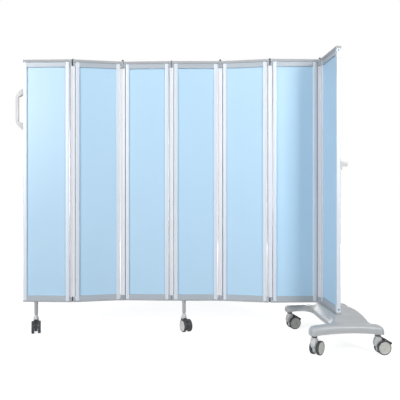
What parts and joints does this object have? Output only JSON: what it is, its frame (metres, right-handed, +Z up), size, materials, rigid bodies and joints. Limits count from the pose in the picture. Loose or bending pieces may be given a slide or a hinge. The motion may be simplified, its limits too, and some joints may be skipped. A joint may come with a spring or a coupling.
{
  "type": "ward privacy screen on wheels",
  "caption": "Folding privacy screen of framed translucent leaves on hinges, its end leaf standing on a wheeled moulded base and the others carried by caster legs.",
  "frame": {"origin": "on the floor, in the middle of the footprint of the whole screen as it stands open", "axes": "+X along the run of leaves from the free end with the handle to the base leaf, +Y from the front, where the base leaf's free edge and hook are, to the rear, +Z up"},
  "size_m": [2.0944, 0.6259, 1.652],
  "materials": {
    "anodised_aluminium": "satin",
    "rail_aluminium": "satin",
    "blue_sheet": "satin",
    "strip_plastic": "satin",
    "base_plastic": "satin",
    "painted_steel": "satin",
    "grey_nylon": "satin",
    "black_nylon": "satin",
    "wheel_rubber": "matt",
    "handle_plastic": "satin"
  },
  "bodies": {
    "base": {"base_cover": "base_plastic", "base_frame": "painted_steel", "leaf_7_left_stile": "anodised_aluminium", "leaf_7_front_stile": "anodised_aluminium", "leaf_7_top_rail": "rail_aluminium", "leaf_7_bottom_rail": "rail_aluminium", "leaf_7_sheet": "blue_sheet", "hinge_6_strip": "strip_plastic"},
    "leaf_6": {"leaf_6_left_stile": "anodised_aluminium", "leaf_6_right_stile": "anodised_aluminium", "leaf_6_top_rail": "rail_aluminium", "leaf_6_bottom_rail": "rail_aluminium", "leaf_6_sheet": "blue_sheet", "hinge_5_strip": "strip_plastic"},
    "leaf_5": {"leaf_5_left_stile": "anodised_aluminium", "leaf_5_right_stile": "anodised_aluminium", "leaf_5_top_rail": "rail_aluminium", "leaf_5_bottom_rail": "rail_aluminium", "leaf_5_sheet": "blue_sheet", "hinge_4_strip": "strip_plastic"},
    "leaf_4": {"leaf_4_left_stile": "anodised_aluminium", "leaf_4_right_stile": "anodised_aluminium", "leaf_4_top_rail": "rail_aluminium", "leaf_4_bottom_rail": "rail_aluminium", "leaf_4_sheet": "blue_sheet", "hinge_3_strip": "strip_plastic", "middle_leg_tube": "painted_steel"},
    "leaf_3": {"leaf_3_left_stile": "anodised_aluminium", "leaf_3_right_stile": "anodised_aluminium", "leaf_3_top_rail": "rail_aluminium", "leaf_3_bottom_rail": "rail_aluminium", "leaf_3_sheet": "blue_sheet", "hinge_2_strip": "strip_plastic"},
    "leaf_2": {"leaf_2_left_stile": "anodised_aluminium", "leaf_2_right_stile": "anodised_aluminium", "leaf_2_top_rail": "rail_aluminium", "leaf_2_bottom_rail": "rail_aluminium", "leaf_2_sheet": "blue_sheet", "hinge_1_strip": "strip_plastic"},
    "leaf_1": {"leaf_1_left_stile": "anodised_aluminium", "leaf_1_right_stile": "anodised_aluminium", "leaf_1_top_rail": "rail_aluminium", "leaf_1_bottom_rail": "rail_aluminium", "leaf_1_sheet": "blue_sheet", "outer_leg_tube": "painted_steel", "handle": "handle_plastic"},
    "rear_left_caster": {"rear_left_caster_body": "grey_nylon"},
    "rear_left_wheels": {"rear_left_wheels": "wheel_rubber"},
    "rear_left_pedal": {"rear_left_brake_pedal": "black_nylon"},
    "rear_right_caster": {"rear_right_caster_body": "grey_nylon"},
    "rear_right_wheels": {"rear_right_wheels": "wheel_rubber"},
    "front_left_caster": {"front_left_caster_body": "grey_nylon"},
    "front_left_wheels": {"front_left_wheels": "wheel_rubber"},
    "front_right_caster": {"front_right_caster_body": "grey_nylon"},
    "front_right_wheels": {"front_right_wheels": "wheel_rubber"},
    "front_right_pedal": {"front_right_brake_pedal": "black_nylon"},
    "middle_leg_caster": {"middle_leg_caster_body": "black_nylon"},
    "middle_leg_wheels": {"middle_leg_wheels": "wheel_rubber"},
    "outer_leg_caster": {"outer_leg_caster_body": "black_nylon"},
    "outer_leg_wheels": {"outer_leg_wheels": "wheel_rubber"}
  },
  "joints": [
    {"name": "hinge_6", "type": "hinge", "parent": "base", "child": "leaf_6", "pos_m": [0.77818, 0.13259, 0.915], "axis": [0, 0, 1], "range_deg": [-87.5, 92.5]},
    {"name": "hinge_5", "type": "hinge", "parent": "leaf_6", "child": "leaf_5", "pos_m": [0.48273, 0.17452, 0.915], "axis": [0, 0, -1], "range_deg": [-10.9, 167.5]},
    {"name": "hinge_4", "type": "hinge", "parent": "leaf_5", "child": "leaf_4", "pos_m": [0.18834, 0.22338, 0.915], "axis": [0, 0, 1], "range_deg": [-11, 169]},
    {"name": "hinge_3", "type": "hinge", "parent": "leaf_4", "child": "leaf_3", "pos_m": [-0.10591, 0.27303, 0.915], "axis": [0, 0, -1], "range_deg": [-3, 175.5]},
    {"name": "hinge_2", "type": "hinge", "parent": "leaf_3", "child": "leaf_2", "pos_m": [-0.40423, 0.28044, 0.915], "axis": [0, 0, 1], "range_deg": [-14, 166]},
    {"name": "hinge_1", "type": "hinge", "parent": "leaf_2", "child": "leaf_1", "pos_m": [-0.70255, 0.27303, 0.915], "axis": [0, 0, -1], "range_deg": [-13.5, 166.5]},
    {"name": "rear_left_swivel", "type": "hinge", "parent": "base", "child": "rear_left_caster", "pos_m": [0.62368, 0.24809, 0.106], "axis": [0, 0, 1], "continuous": true},
    {"name": "rear_left_roll", "type": "hinge", "parent": "rear_left_caster", "child": "rear_left_wheels", "pos_m": [0.64963, 0.25554, 0.0375], "axis": [-0.2756, 0.9613, 0], "continuous": true},
    {"name": "rear_left_brake", "type": "hinge", "parent": "rear_left_caster", "child": "rear_left_pedal", "pos_m": [0.64161, 0.25324, 0.088], "axis": [0.2756, -0.9613, 0], "range_deg": [0, 15]},
    {"name": "rear_right_swivel", "type": "hinge", "parent": "base", "child": "rear_right_caster", "pos_m": [0.96168, 0.24809, 0.106], "axis": [0, 0, 1], "continuous": true},
    {"name": "rear_right_roll", "type": "hinge", "parent": "rear_right_caster", "child": "rear_right_wheels", "pos_m": [0.93829, 0.26159, 0.0375], "axis": [-0.5, -0.866, 0], "continuous": true},
    {"name": "front_left_swivel", "type": "hinge", "parent": "base", "child": "front_left_caster", "pos_m": [0.62368, -0.27991, 0.106], "axis": [0, 0, 1], "continuous": true},
    {"name": "front_left_roll", "type": "hinge", "parent": "front_left_caster", "child": "front_left_wheels", "pos_m": [0.64277, -0.26082, 0.0375], "axis": [-0.7071, 0.7071, 0], "continuous": true},
    {"name": "front_right_swivel", "type": "hinge", "parent": "base", "child": "front_right_caster", "pos_m": [0.96168, -0.27991, 0.106], "axis": [0, 0, 1], "continuous": true},
    {"name": "front_right_roll", "type": "hinge", "parent": "front_right_caster", "child": "front_right_wheels", "pos_m": [0.98857, -0.27755, 0.0375], "axis": [-0.0872, 0.9962, 0], "continuous": true},
    {"name": "front_right_brake", "type": "hinge", "parent": "front_right_caster", "child": "front_right_pedal", "pos_m": [0.98027, -0.27828, 0.088], "axis": [0.0872, -0.9962, 0], "range_deg": [0, 15]},
    {"name": "middle_leg_swivel", "type": "hinge", "parent": "leaf_4", "child": "middle_leg_caster", "pos_m": [-0.03111, 0.25326, 0.106], "axis": [0, 0, 1], "continuous": true},
    {"name": "middle_leg_roll", "type": "hinge", "parent": "middle_leg_caster", "child": "middle_leg_wheels", "pos_m": [-0.02013, 0.22859, 0.0375], "axis": [0.9135, 0.4067, 0], "continuous": true},
    {"name": "outer_leg_swivel", "type": "hinge", "parent": "leaf_1", "child": "outer_leg_caster", "pos_m": [-0.92378, 0.28364, 0.106], "axis": [0, 0, 1], "continuous": true},
    {"name": "outer_leg_roll", "type": "hinge", "parent": "outer_leg_caster", "child": "outer_leg_wheels", "pos_m": [-0.91793, 0.25728, 0.0375], "axis": [0.9763, 0.2164, 0], "continuous": true}
  ],
  "couplings": [
    {"joint": "hinge_4", "follows": "hinge_5", "ratio": 1.009}
  ]
}
